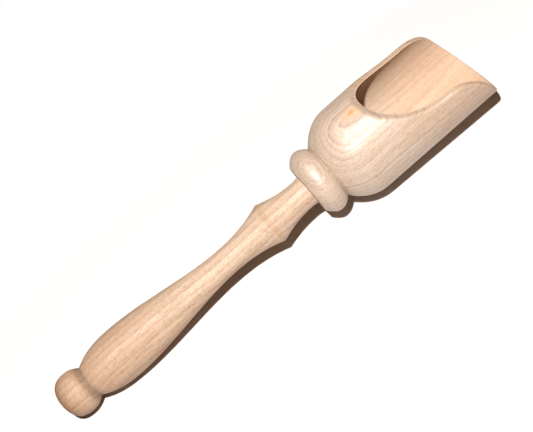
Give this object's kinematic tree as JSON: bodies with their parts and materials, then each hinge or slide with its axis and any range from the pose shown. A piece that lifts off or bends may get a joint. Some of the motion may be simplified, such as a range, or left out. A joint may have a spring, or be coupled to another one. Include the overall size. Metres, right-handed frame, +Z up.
{
  "type": "feed scoop",
  "caption": "Turned wooden feed scoop: a bored bowl with its upper front swept away, a beaded collar and a long spindle handle ending in a knob.",
  "frame": {"origin": "on the surface that the scoop lies on, midway along its length and below its lathe axis", "axes": "+X along the length towards the lip, +Z up out of the bowl's opening, as the scoop lies at rest on the bowl's shoulder and the knob; the lathe axis rises by 4.04 degrees towards +X"},
  "size_m": [0.299, 0.0552, 0.056],
  "materials": {
    "bowl_wood": "pale beech, turned and sanded, unfinished",
    "handle_wood": "tan beech, turned and sanded, unfinished",
    "glue": "cured wood glue, brown at the joint line"
  },
  "bodies": {
    "root": {"scoop_bowl": "bowl_wood", "handle": "handle_wood", "glue_film": "glue"}
  },
  "joints": []
}
